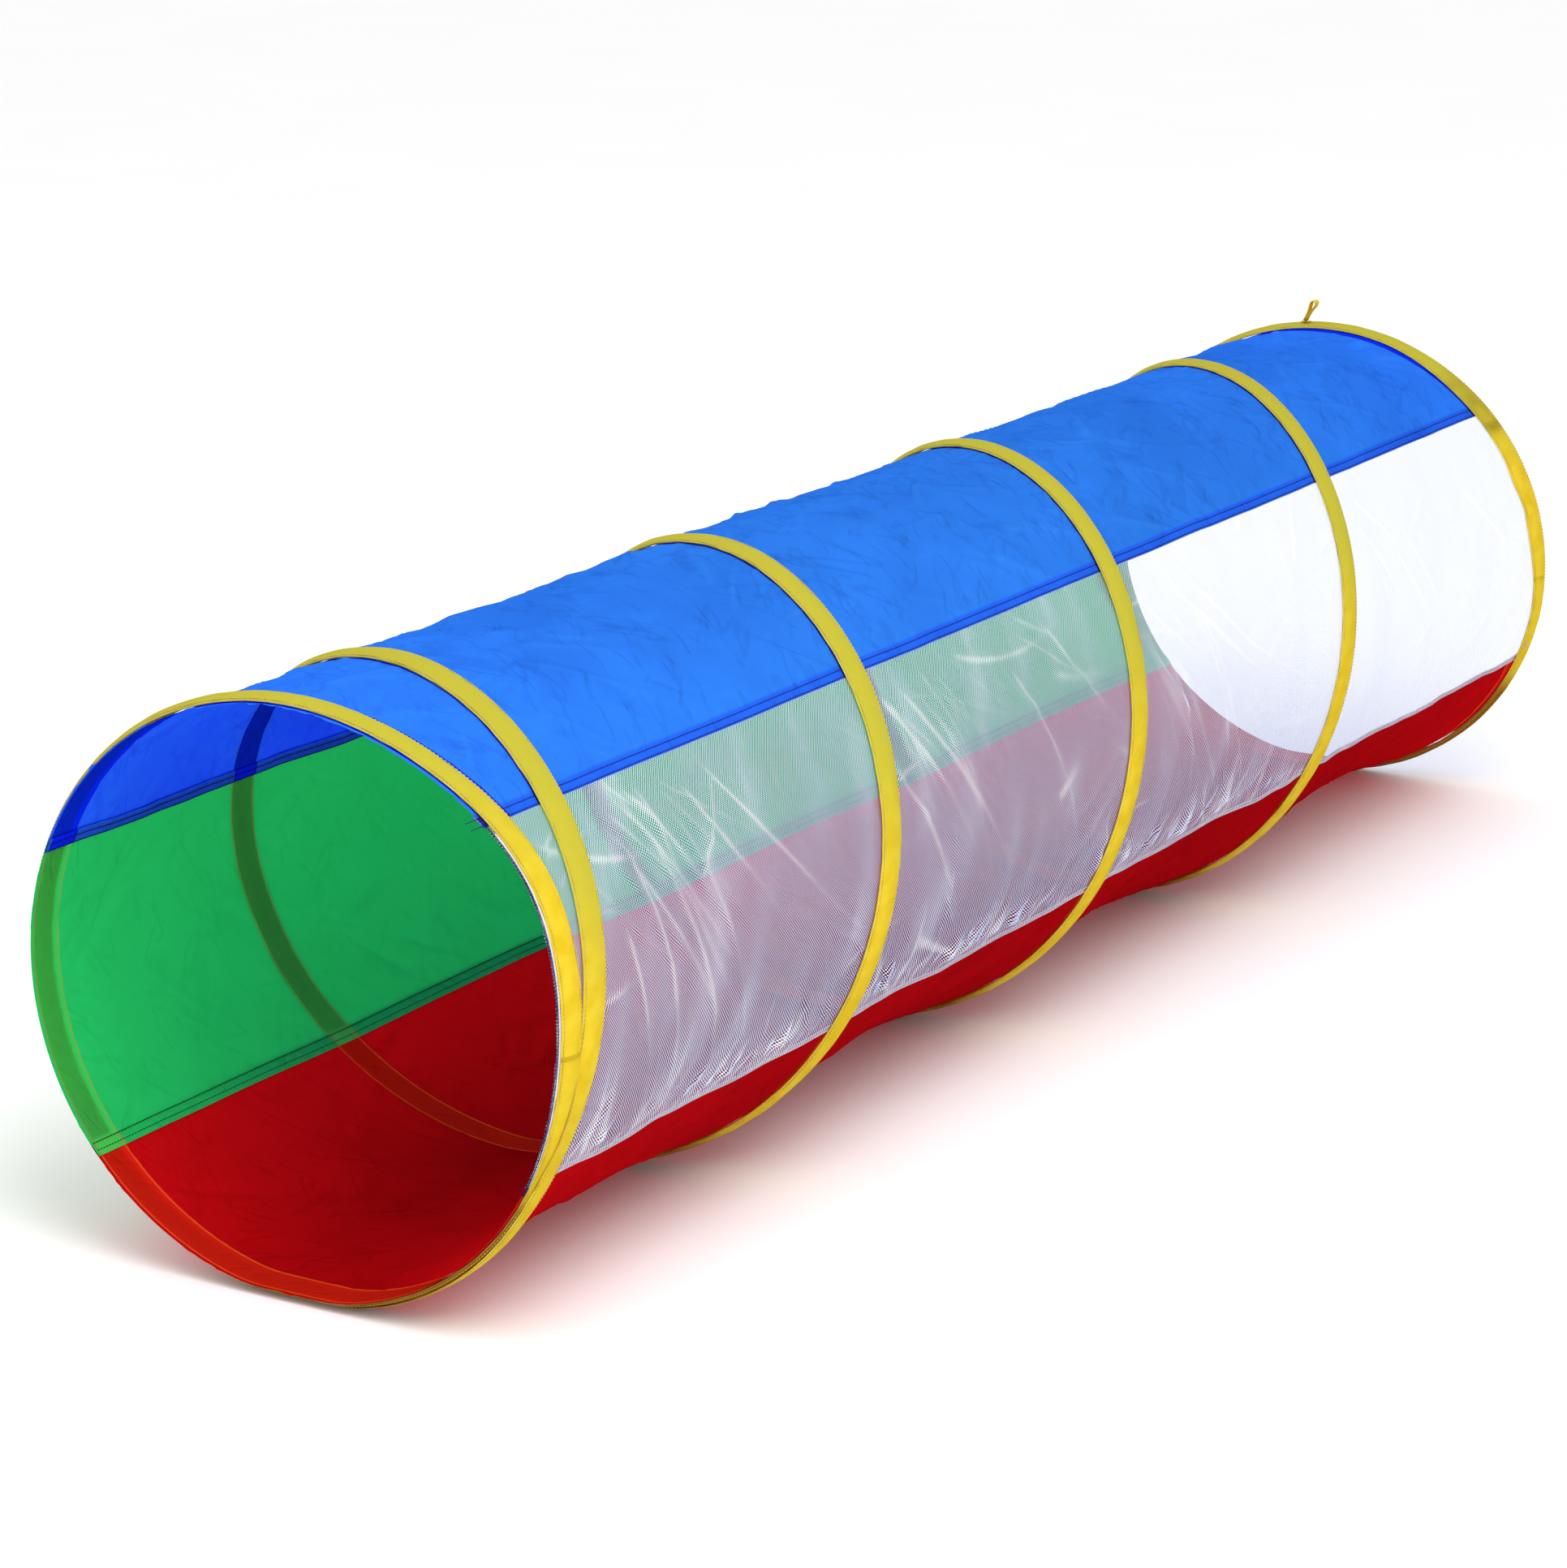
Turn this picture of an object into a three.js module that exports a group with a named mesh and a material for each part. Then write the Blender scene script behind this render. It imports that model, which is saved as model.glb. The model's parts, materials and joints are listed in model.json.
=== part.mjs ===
// A pop-up agility tunnel: four long cloth panels round a spring-wire coil, with a wire hoop at each mouth.
// Millimetres, +Z up. The tunnel lies along X, with the near mouth at -X and the see-through side at -Y.

import * as THREE from 'three';

// Overall sizes
const tunnel_length = 1800; // between the middle of the mouth hoop and the far edge of the far sleeve
const hoop_width = 491.6; // over the sleeves
const hoop_height = 473.6; // over the sleeves, before the floor flattens the hoops
const foot_angle = 9; // half the angle of the flat that the weight presses into each hoop's foot

// Cloth
const cloth_thick = 1;
const seam_lap = 12; // how far one panel's edge runs under its neighbour's
const lap_step = 3; // width of the fold that carries the edge under
const touch_gap = 0.3;

// Angles round the tunnel, in degrees: 0 is the see-through side, 90 the top, 180 the far side
const seam_top_mesh = 44;
const seam_top_side = 158;
const seam_side_bottom = 218;
const seam_mesh_bottom = 338;

// Spring wire and the tubes crimped over its joints
const wire_thick = 3;
const ferrule_bore = 3.3;
const ferrule_thick = 4.2;
const ferrule_length = 22;
const mouth_joint_angle = 320;
const far_joint_angle = 45;

// Sleeves: tapes sewn down over the wire
const tape_thick = 0.8;
const coil_tape = 28;
const mouth_tape = 23;
const far_tape = 34;
const channel_foot = 8;
const channel_top = 6;

// The coil, whose turns lean over, more so towards the far end
const coil_turns = 3.91; // from the middle of one hoop to the middle of the other
const coil_start_angle = -21;
const near_lean = { side: 8, top: 3.5 };
const far_lean = { side: -96, top: 17 };
const run_on_span = 156.6; // degrees before its end, the coil stops leaning and runs straight to the far hoop
const run_on_rise = 1.8; // along the tunnel for each degree

// The mouth hoop isn't quite flat: the see-through side draws it in towards the coil.
const mouth_bow = 22;
const mouth_bow_angle = 32;
const mouth_bow_spread = 28;

// The tape loop on the far hoop, and the stitched patches that hold loose tapes down
const loop_angle = 96;
const loop_tape_width = 10;
const loop_tape_thick = 1;
const loop_height = 24;
const loop_bulge = 6;
const loop_lean = 33;
const tack_length = 9;
const tack_width = 6;
const tack_thick = 0.8;
const mouth_tack_angle = 163;

// Every layer bends at the same corners round the tunnel, about this many degrees apart.
const bend_step = 9;

const mouth_x = 0;
const far_x = tunnel_length - far_tape / 2;
const hoop_radius = (hoop_width + hoop_height) / 4;
const tape_under = touch_gap;
const channel_height = ferrule_thick + 2 * touch_gap;
const tape_over = tape_under + channel_height + tape_thick;
const wire_offset = tape_under + touch_gap + ferrule_thick / 2;
const cloth_half_width = hoop_width / 2 - tape_over;
const cloth_half_height = hoop_height / 2 - tape_over;
const centre_z = (hoop_height / 2) * Math.cos(THREE.MathUtils.degToRad(foot_angle));
const middle_x = (mouth_x - mouth_tape / 2 + tunnel_length) / 2;
const run_on_angle = coil_start_angle + 360 * coil_turns - run_on_span;

// A corner of the cloth's outer surface, or of a surface a given distance outside it
function corner(angle, outward) {
  const turn = THREE.MathUtils.degToRad(angle);
  const y = -(cloth_half_width + outward) * Math.cos(turn);
  return new THREE.Vector2(y, centre_z + (cloth_half_height + outward) * Math.sin(turn));
}

// The corners' angles for one turn, from one edge of the flat foot round to the other
const round_part = 360 - 2 * foot_angle;
const bends = Math.round(round_part / bend_step);
const corner_angles = [];
for (let i = 0; i <= bends; i += 1) {
  corner_angles.push(270 + foot_angle + (round_part * i) / bends);
}
corner_angles.push(corner_angles[0] + 360);

// The two corners beside an angle, and how far the angle is from the first to the second
function beside(angle) {
  const whole_turns = Math.floor((angle - corner_angles[0]) / 360) * 360;
  const turned = angle - whole_turns;
  const next = Math.max(1, corner_angles.findIndex((a) => a >= turned));
  const before = corner_angles[next - 1];
  const after = corner_angles[next];
  return { before, after, share: (turned - before) / (after - before) };
}

// A point at any angle, on the straight between two corners
function around(angle, outward) {
  const { before, after, share } = beside(angle);
  return corner(before, outward).lerp(corner(after, outward), share);
}

// How far the mouth hoop is drawn in at an angle
function bow(angle) {
  const at_corner = (a) => {
    const off = ((a - mouth_bow_angle + 540) % 360) - 180;
    return mouth_bow * Math.exp(-((off / mouth_bow_spread) ** 2));
  };
  const { before, after, share } = beside(angle);
  return THREE.MathUtils.lerp(at_corner(before), at_corner(after), share);
}

// Angles from start to end, with every corner between them
function stations(start, end) {
  const angles = [start];
  const first_turn = Math.floor((start - corner_angles[0]) / 360);
  const last_turn = Math.floor((end - corner_angles[0]) / 360);
  for (let turn = first_turn; turn <= last_turn; turn += 1) {
    const inside = corner_angles.slice(0, -1).map((a) => a + 360 * turn);
    angles.push(...inside.filter((a) => a > start + 0.01 && a < end - 0.01));
  }
  angles.push(end);
  return angles;
}

function material(colour, roughness, metalness = 0, opacity = 1) {
  return new THREE.MeshStandardMaterial({
    color: new THREE.Color().setRGB(...colour, THREE.SRGBColorSpace),
    roughness,
    metalness,
    opacity,
    transparent: opacity < 1,
    side: THREE.DoubleSide,
  });
}

const blue_cloth = material([0.24, 0.53, 0.99], 0.55);
const red_cloth = material([0.67, 0.03, 0.03], 0.55);
const green_cloth = material([0.13, 0.62, 0.32], 0.55);
const mesh_cloth = material([0.95, 0.95, 0.98], 0.7, 0, 0.5);
const yellow_tape = material([0.91, 0.82, 0.27], 0.6);
const spring_steel = material([0.52, 0.53, 0.55], 0.35, 1);
const crimped_steel = material([0.4, 0.41, 0.42], 0.4, 1);
const yellow_thread = material([0.85, 0.72, 0.15], 0.7);

const group = new THREE.Group();
group.position.x = -middle_x;

function add(name, geometry, finish) {
  const mesh = new THREE.Mesh(geometry, finish);
  mesh.name = name;
  group.add(mesh);
  return mesh;
}

// Bends a straight extrusion round the tunnel. The section's x runs back along the tunnel and its y outward.
function wrapped(section, start, end, x_at) {
  const angles = stations(start, end);
  const steps = angles.length - 1;
  const geometry = new THREE.ExtrudeGeometry(section, { depth: steps, steps, bevelEnabled: false });
  const places = geometry.getAttribute('position');
  for (let i = 0; i < places.count; i += 1) {
    const angle = angles[Math.round(places.getZ(i))];
    const point = around(angle, places.getY(i));
    places.setXYZ(i, x_at(angle) - places.getX(i), point.x, point.y);
  }
  return geometry;
}

// A tape folded over the wire: flat flanges sewn to the cloth, and a raised channel between them.
function tape_section(width) {
  const edge = width / 2;
  const foot = channel_foot / 2;
  const top = channel_top / 2;
  const low = tape_under;
  const lip = tape_under + tape_thick;
  const ceiling = tape_under + channel_height;
  return new THREE.Shape([
    new THREE.Vector2(-edge, low),
    new THREE.Vector2(-foot + tape_thick, low),
    new THREE.Vector2(-top + tape_thick, ceiling),
    new THREE.Vector2(top - tape_thick, ceiling),
    new THREE.Vector2(foot - tape_thick, low),
    new THREE.Vector2(edge, low),
    new THREE.Vector2(edge, lip),
    new THREE.Vector2(foot, lip),
    new THREE.Vector2(top, tape_over),
    new THREE.Vector2(-top, tape_over),
    new THREE.Vector2(-foot, lip),
    new THREE.Vector2(-edge, lip),
  ]);
}

function disc(radius, corners, start = 0) {
  const points = [];
  for (let i = 0; i < corners; i += 1) {
    const turn = ((i + 0.5) / corners) * Math.PI * 2 + start;
    points.push(new THREE.Vector2(radius * Math.cos(turn), wire_offset + radius * Math.sin(turn)));
  }
  return points;
}

const wire_section = new THREE.Shape(disc(wire_thick / 2, 8));
const ferrule_section = new THREE.Shape(disc(ferrule_thick / 2, 16));
// The bore's flats, not its corners, clear the wire by the stated bore.
ferrule_section.holes.push(new THREE.Path(disc(ferrule_bore / 2, 16)));

// Half of a gap, as an angle round the hoop
const half_gap = THREE.MathUtils.radToDeg(touch_gap / 2 / hoop_radius);

// Hoops: a wire bent into a ring whose ends meet inside a crimped tube, under a tape whose ends meet above it
function hoop(name, x_at, width, joint_angle) {
  const whole = [joint_angle + half_gap, joint_angle + 360 - half_gap];
  const reach = THREE.MathUtils.radToDeg(ferrule_length / 2 / hoop_radius);
  const joint = [joint_angle - reach, joint_angle + reach];
  add(`${name}_sleeve`, wrapped(tape_section(width), ...whole, x_at), yellow_tape);
  add(`${name}_wire`, wrapped(wire_section, ...whole, x_at), spring_steel);
  add(`${name}_ferrule`, wrapped(ferrule_section, ...joint, x_at), crimped_steel);
}
hoop('mouth', (angle) => mouth_x + bow(angle), mouth_tape, mouth_joint_angle);
hoop('far', () => far_x, far_tape, far_joint_angle);

// The coil climbs from hoop to hoop, and its tape starts and ends clear of the hoops' tapes.
function coil_x(angle) {
  const leaning = Math.min(angle, run_on_angle);
  const turn = THREE.MathUtils.degToRad(leaning);
  const share = (leaning - coil_start_angle) / (360 * coil_turns);
  const side = THREE.MathUtils.lerp(near_lean.side, far_lean.side, share) * Math.cos(turn);
  const top = THREE.MathUtils.lerp(near_lean.top, far_lean.top, share) * Math.sin(turn);
  return mouth_x + (far_x - mouth_x) * share + side + top + run_on_rise * (angle - leaning);
}

// The angle at which the coil reaches a distance from the mouth hoop
function coil_angle(distance) {
  let low = coil_start_angle - 60;
  let high = coil_start_angle + 360 * coil_turns;
  while (high - low > 1e-6) {
    const middle = (low + high) / 2;
    if (coil_x(middle) - mouth_x - bow(middle) < distance) {
      low = middle;
    } else {
      high = middle;
    }
  }
  return low;
}
// A slanting tape is wider along the tunnel.
const coil_pitch = (far_x - mouth_x) / coil_turns;
const slant = 1 / Math.cos(Math.atan(coil_pitch / (2 * Math.PI * hoop_radius)));
const coil_first = coil_angle((mouth_tape + coil_tape * slant) / 2 + touch_gap);
const coil_last = coil_angle(far_x - mouth_x - (far_tape + coil_tape * slant) / 2 - touch_gap);
const coil_section = tape_section(coil_tape * slant);
add('coil_sleeve', wrapped(coil_section, coil_first, coil_last, coil_x), yellow_tape);
add('coil_wire', wrapped(wire_section, coil_first, coil_last, coil_x), spring_steel);

// A panel from seam to seam. An edge that laps runs on under its neighbour.
function panel(name, start_seam, end_seam, laps, finish) {
  const start = start_seam + half_gap;
  const end = end_seam - half_gap;
  const lap = THREE.MathUtils.radToDeg(seam_lap / hoop_radius);
  const fold = THREE.MathUtils.radToDeg(lap_step / hoop_radius);
  const under = -(cloth_thick + touch_gap);
  const deep = under - cloth_thick;
  const outline = [];
  const trace = (from, to, outward, backward = false) => {
    const angles = stations(from, to);
    if (backward) {
      angles.reverse();
    }
    angles.forEach((angle) => outline.push(around(angle, outward)));
  };
  trace(start, end, 0);
  if (laps.includes('end')) {
    trace(end, end + lap, under);
    trace(end - fold, end + lap, deep, true);
    trace(start + (laps.includes('start') ? fold : 0), end - fold, -cloth_thick, true);
  } else {
    trace(start + (laps.includes('start') ? fold : 0), end, -cloth_thick, true);
  }
  if (laps.includes('start')) {
    trace(start - lap, start + fold, deep, true);
    trace(start - lap, start, under);
  }
  const hem = mouth_tape / 2;
  const length = tunnel_length - touch_gap + hem;
  const geometry = new THREE.ExtrudeGeometry(new THREE.Shape(outline), {
    depth: length,
    steps: 1,
    bevelEnabled: false,
  });
  const along = new THREE.Vector3(1, 0, 0);
  const across = new THREE.Vector3(0, 1, 0);
  const up = new THREE.Vector3(0, 0, 1);
  geometry.applyMatrix4(new THREE.Matrix4().makeBasis(across, up, along));
  geometry.translate(mouth_x - hem, 0, 0);
  // The near edge follows the mouth hoop.
  const places = geometry.getAttribute('position');
  for (let i = 0; i < places.count; i += 1) {
    if (places.getX(i) < tunnel_length / 2) {
      const rise = (places.getZ(i) - centre_z) / cloth_half_height;
      const angle = THREE.MathUtils.radToDeg(Math.atan2(rise, -places.getY(i) / cloth_half_width));
      places.setX(i, places.getX(i) + bow(angle));
    }
  }
  add(name, geometry, finish);
}
panel('top_panel', seam_top_mesh, seam_top_side, [], blue_cloth);
panel('side_panel', seam_top_side, seam_side_bottom, ['start', 'end'], green_cloth);
panel('bottom_panel', seam_side_bottom, seam_mesh_bottom, ['end'], red_cloth);
panel('mesh_panel', seam_mesh_bottom, seam_top_mesh + 360, ['end'], mesh_cloth);

// Stands a small upright piece square on the tunnel, its foot a given distance outside the cloth.
function stood(geometry, x, angle, outward, lean = 0) {
  const foot = around(angle, outward);
  const half_foot = THREE.MathUtils.radToDeg(tack_length / 2 / hoop_radius);
  const along = around(angle + half_foot, outward).sub(around(angle - half_foot, outward));
  geometry.rotateX(along.angle() + THREE.MathUtils.degToRad(lean));
  geometry.translate(x, foot.x, foot.y);
  return geometry;
}

// The loop: a strip of tape folded in two, its ends stitched together as a foot and its fold left open.
// The foot's underside is round about the line it bends on.
const loop_foot = loop_tape_thick * 2 + touch_gap;
const loop_neck = loop_height * 0.3;
const loop_head = loop_height - loop_foot / 2 - loop_bulge / 2;
const loop_outline = new THREE.Shape();
loop_outline.absarc(0, 0, loop_foot / 2, Math.PI, 2 * Math.PI, false);
loop_outline.lineTo(loop_foot / 2, loop_neck);
loop_outline.lineTo(loop_bulge / 2, loop_head);
loop_outline.absarc(0, loop_head, loop_bulge / 2, 0, Math.PI, false);
loop_outline.lineTo(-loop_foot / 2, loop_neck);
loop_outline.closePath();
const eye = new THREE.Path();
const eye_half = loop_bulge / 2 - loop_tape_thick;
eye.moveTo(0, loop_neck + loop_tape_thick);
eye.lineTo(eye_half, loop_head);
eye.absarc(0, loop_head, eye_half, 0, Math.PI, false);
eye.closePath();
loop_outline.holes.push(eye);
const loop = new THREE.ExtrudeGeometry(loop_outline, {
  depth: loop_tape_width,
  steps: 1,
  bevelEnabled: false,
  curveSegments: 6,
});
loop.translate(0, 0, -loop_tape_width / 2);
loop.rotateX(Math.PI / 2);
loop.rotateZ(Math.PI / 2);
const loop_root = tape_over + tack_thick + 2 * touch_gap + loop_foot / 2;
add('far_loop', stood(loop, far_x, loop_angle, loop_root, loop_lean), yellow_tape);

// Stitched patches across the hoops' tapes: one fixes the loop, the other shows through inside the near mouth
function tack(x, angle) {
  const patch = new THREE.BoxGeometry(tack_width, tack_length, tack_thick);
  patch.translate(0, 0, tack_thick / 2);
  return stood(patch, x, angle, tape_over + touch_gap);
}
add('far_tack', tack(far_x, loop_angle), yellow_thread);
add('mouth_tack', tack(mouth_x, mouth_tack_angle), yellow_thread);

export default group;
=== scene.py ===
import json
import math

import bpy
import numpy as np
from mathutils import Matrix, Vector


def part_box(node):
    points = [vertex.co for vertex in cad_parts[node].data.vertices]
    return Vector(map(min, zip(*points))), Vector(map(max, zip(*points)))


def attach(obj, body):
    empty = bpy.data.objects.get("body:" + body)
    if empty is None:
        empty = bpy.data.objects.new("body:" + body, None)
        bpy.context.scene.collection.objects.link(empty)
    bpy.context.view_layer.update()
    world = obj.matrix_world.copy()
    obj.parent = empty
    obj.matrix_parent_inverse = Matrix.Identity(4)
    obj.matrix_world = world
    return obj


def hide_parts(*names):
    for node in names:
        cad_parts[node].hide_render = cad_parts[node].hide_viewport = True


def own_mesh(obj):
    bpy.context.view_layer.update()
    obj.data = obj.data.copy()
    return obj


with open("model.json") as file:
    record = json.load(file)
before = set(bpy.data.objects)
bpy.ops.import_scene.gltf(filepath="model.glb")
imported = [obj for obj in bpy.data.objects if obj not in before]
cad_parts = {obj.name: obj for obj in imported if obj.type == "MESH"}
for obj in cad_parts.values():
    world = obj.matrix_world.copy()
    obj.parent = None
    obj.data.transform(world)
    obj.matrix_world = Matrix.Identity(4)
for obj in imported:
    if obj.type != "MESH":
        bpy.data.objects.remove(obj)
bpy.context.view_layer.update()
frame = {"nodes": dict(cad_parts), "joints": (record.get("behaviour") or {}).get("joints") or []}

# ---------------------------------------------------------------------------------------------------------
# The spring wires. Round steel wire is bent into a ring at each mouth, and a third length is wound into a
# coil that climbs from ring to ring. It lies loose in its tapes, and weight presses the rings' feet flat.
near_low, near_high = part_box("mouth_sleeve")
far_low, far_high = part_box("far_sleeve")
near_x, far_x = sum(corner.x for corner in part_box("mouth_ferrule")) / 2, (far_low.x + far_high.x) / 2
near_half, far_half = near_x - near_low.x, far_x - far_low.x
foot_angle = math.radians(9)
ring_half_height = near_high.z / (1 + math.cos(foot_angle))
ring_middle = near_high.z - ring_half_height
tape_stand = near_high.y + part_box("mesh_panel")[0].y
cloth_half_width, cloth_half_height = near_high.y - tape_stand, ring_half_height - tape_stand
cloth_radius = (cloth_half_width + cloth_half_height) / 2
wire_thick, wire_stand = 0.003, 0.0027
coil_turns, coil_start, coil_first, coil_last = 3.91, -21.0, -80.0, 1335.0
near_lean, far_lean = (0.008, 0.0035), (-0.096, 0.017)
run_on, run_on_rise = coil_start + 360 * coil_turns - 156.6, 0.0018
near_bow, near_bow_angle, near_bow_spread = 0.022, 32.0, 28.0
foot_ease, coil_ease = 0.0009, 0.005


def tunnel_point(x, angle, stand):
    """A point outside the cloth. Angles are in degrees: 0 is the see-through side, 90 the top."""
    turn = np.radians(angle)
    y = -(cloth_half_width + stand) * np.cos(turn)
    z = (cloth_half_height + stand) * np.sin(turn)
    floor = -ring_middle + np.maximum(tape_stand - stand, 0.0)
    z = floor + foot_ease * np.logaddexp(0, (z - floor) / foot_ease)
    return np.stack(np.broadcast_arrays(x, y, ring_middle + z), axis=-1)


def outward(angle):
    """The way out of the tunnel at an angle."""
    turn = np.radians(angle)
    return np.stack([0 * turn, -np.cos(turn), np.sin(turn)], -1)


def off_angle(angle, middle):
    """How far an angle is from a middle one, from -180 to 180."""
    return np.mod(angle - middle + 180.0, 360.0) - 180.0


def ring_x(angle):
    """Where the near ring is along the tunnel. The see-through side draws it in towards the coil."""
    return near_x + near_bow * np.exp(-((off_angle(angle, near_bow_angle) / near_bow_spread) ** 2))


def coil_x(angle):
    """Where the coil is along the tunnel. Its turns lean, and each end runs in beside a ring."""
    leaning = np.minimum(angle, run_on)
    turn, share = np.radians(leaning), (leaning - coil_start) / (360 * coil_turns)
    side = (near_lean[0] + (far_lean[0] - near_lean[0]) * share) * np.cos(turn)
    top = (near_lean[1] + (far_lean[1] - near_lean[1]) * share) * np.sin(turn)
    x = near_x + (far_x - near_x) * share + side + top + run_on_rise * (angle - leaning)
    first, last = ring_x(angle) + 0.004, far_x - 0.002
    x = first + coil_ease * np.logaddexp(0, (x - first) / coil_ease)
    return last - coil_ease * np.logaddexp(0, (last - x) / coil_ease)


class Term:
    """A number or colour in a material. Sums on it add Math nodes."""

    def __init__(self, recipe, socket):
        self.recipe, self.socket = recipe, socket

    def maths(self, operation, *terms):
        return self.recipe.node("ShaderNodeMath", {"operation": operation}, dict(enumerate(terms)))

    def __add__(self, other):
        return self.maths("ADD", self, other)

    def __sub__(self, other):
        return self.maths("SUBTRACT", self, other)

    def __rsub__(self, other):
        return self.maths("SUBTRACT", other, self)

    def __mul__(self, other):
        return self.maths("MULTIPLY", self, other)

    __radd__, __rmul__ = __add__, __mul__

    def __abs__(self):
        return self.maths("ABSOLUTE", self)

    def rise(self, start, end):
        """0 up to start, 1 from end on, and smooth between."""
        settings = {"interpolation_type": "SMOOTHSTEP"}
        return self.recipe.node("ShaderNodeMapRange", settings, {0: self, 1: start, 2: end, 3: 0.0, 4: 1.0})

    def band(self, low, high, blur):
        """1 between low and high, and 0 outside."""
        return self.rise(low - blur, low + blur) * (1 - self.rise(high - blur, high + blur))

    def wave(self, pitch):
        return self.maths("COSINE", self * (2 * math.pi / pitch))

    def tint(self, first, second):
        """The first colour where this is 0, and the second where it is 1."""
        return self.recipe.node("ShaderNodeMix", {"data_type": "RGBA"}, {0: self, 6: first, 7: second}, 2)


class Recipe:
    """A material: one glossy shader, and the pattern that the cloth's cut gives it."""

    def __init__(self, name, **constants):
        self.material = bpy.data.materials.new(name)
        self.material.use_nodes = True
        self.tree = self.material.node_tree
        self.tree.nodes.clear()
        self.shader = self.node("ShaderNodeBsdfPrincipled")
        for key, value in constants.items():
            self.shader.socket.node.inputs[key.replace("_", " ")].default_value = value
        self.output = self.node("ShaderNodeOutputMaterial", out=None)
        self.show(self.shader)

    def node(self, kind, settings=None, sockets=None, out=0):
        made = self.tree.nodes.new(kind)
        for key, value in (settings or {}).items():
            setattr(made, key, value)
        for key, value in (sockets or {}).items():
            if isinstance(value, Term):
                self.tree.links.new(value.socket, made.inputs[key])
            elif isinstance(value, tuple) and made.inputs[key].type == "RGBA":
                made.inputs[key].default_value = (*value, 1)
            else:
                made.inputs[key].default_value = value
        return made if out is None else Term(self, made.outputs[out])

    def show(self, surface):
        self.tree.links.new(surface.socket, self.output.inputs["Surface"])

    def feed(self, **terms):
        for key, term in terms.items():
            self.tree.links.new(term.socket, self.shader.socket.node.inputs[key.replace("_", " ")])

    def cut(self, scale=1.0, stretch=(1, 1, 1)):
        """The place on the cut piece, in metres along it and across it."""
        where = self.node("ShaderNodeUVMap", {"uv_map": "cut"})
        sockets = {"Vector": where, "Scale": tuple(scale * s for s in stretch)}
        return self.node("ShaderNodeMapping", {}, sockets)

    def along_across(self):
        parts = self.node("ShaderNodeSeparateXYZ", {}, {0: self.cut()}, out=None)
        return Term(self, parts.outputs[0]), Term(self, parts.outputs[1])

    def noise(self, per_metre, detail=2.0, stretch=(1, 1, 1)):
        sockets = {"Vector": self.cut(per_metre, stretch), "Scale": 1.0, "Detail": detail}
        return self.node("ShaderNodeTexNoise", {}, sockets)

    def drawn_noise(self, per_metre, heading, stretch, detail=2.0):
        """Noise drawn out along a heading on the cut piece."""
        along, across = self.along_across()
        side, front = math.sin(math.radians(heading)), math.cos(math.radians(heading))
        forward, sideways = along * front + across * side, across * front - along * side
        places = {0: forward * (per_metre * stretch), 1: sideways * per_metre}
        where = self.node("ShaderNodeCombineXYZ", {}, places)
        return self.node("ShaderNodeTexNoise", {}, {"Vector": where, "Scale": 1.0, "Detail": detail})

    def mark(self, name):
        return self.node("ShaderNodeAttribute", {"attribute_name": name}, out=2)

    def bump(self, height, distance, strength=1.0):
        sockets = {"Strength": strength, "Distance": distance, "Height": height}
        self.feed(Normal=self.node("ShaderNodeBump", {}, sockets))


def light(red, green, blue):
    """A colour given in 0 to 255, as amounts of light."""
    shares = (red / 255, green / 255, blue / 255)
    return tuple(((share + 0.055) / 1.055) ** 2.4 if share > 0.04 else share / 12.92 for share in shares)


def skin(name, points, recipe, cut=None, marks=None, ring=False, tube=False, ends=False):
    """A mesh on rows and columns of points. A ring joins its last row to its first, a tube its columns."""
    rows, columns = points.shape[:2]
    r, c = np.meshgrid(np.arange(rows - (not ring)), np.arange(columns - (not tube)), indexing="ij")
    r2, c2 = (r + 1) % rows, (c + 1) % columns
    faces = np.stack([r * columns + c, r * columns + c2, r2 * columns + c2, r2 * columns + c], -1)
    faces = faces.reshape(-1, 4).tolist()
    if ends:
        faces.append(list(range(columns))[::-1])
        faces.append([(rows - 1) * columns + k for k in range(columns)])
    mesh = bpy.data.meshes.new(name)
    mesh.from_pydata(points.reshape(-1, 3).tolist(), [], faces)
    mesh.polygons.foreach_set("use_smooth", np.ones(len(faces), bool))
    if cut is not None:
        corner = np.zeros(len(mesh.loops), np.int32)
        mesh.loops.foreach_get("vertex_index", corner)
        flat = np.stack(np.broadcast_arrays(*cut), -1).reshape(-1, 2)
        mesh.uv_layers.new(name="cut").data.foreach_set("uv", flat[corner].astype(np.float32).ravel())
    for key, values in (marks or {}).items():
        spread = np.broadcast_to(values, (rows, columns)).astype(np.float32).ravel()
        mesh.attributes.new(key, "FLOAT", "POINT").data.foreach_set("value", spread)
    mesh.materials.append(recipe.material)
    made = bpy.data.objects.new(name, mesh)
    bpy.context.collection.objects.link(made)
    return made


def folds_up(piece):
    """The piece rides on the near end's body with a mesh of its own. How much of the tunnel is kept when the
    far ring is pushed home is worked out, but the piece is not folded.
    """
    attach(piece, "near_end")
    push = next(joint for joint in frame["joints"] if joint["name"] == "collapse")["range_m"][1]
    keep = 1 - push / (far_x - far_half - 0.001 - near_x)
    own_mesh(piece)


drawn_steel = Recipe("drawn_steel", Metallic=1.0, Roughness=0.3)
scratch = drawn_steel.noise(900, 3, (0.04, 1, 1))
drawn_steel.feed(Base_Color=scratch.rise(0.3, 0.7).tint(light(128, 130, 134), light(182, 184, 188)))
drawn_steel.bump(scratch, 0.00005)
for node in ("mouth_wire", "far_wire"):
    frame["nodes"][node].data.materials.clear()
    frame["nodes"][node].data.materials.append(drawn_steel.material)

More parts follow.
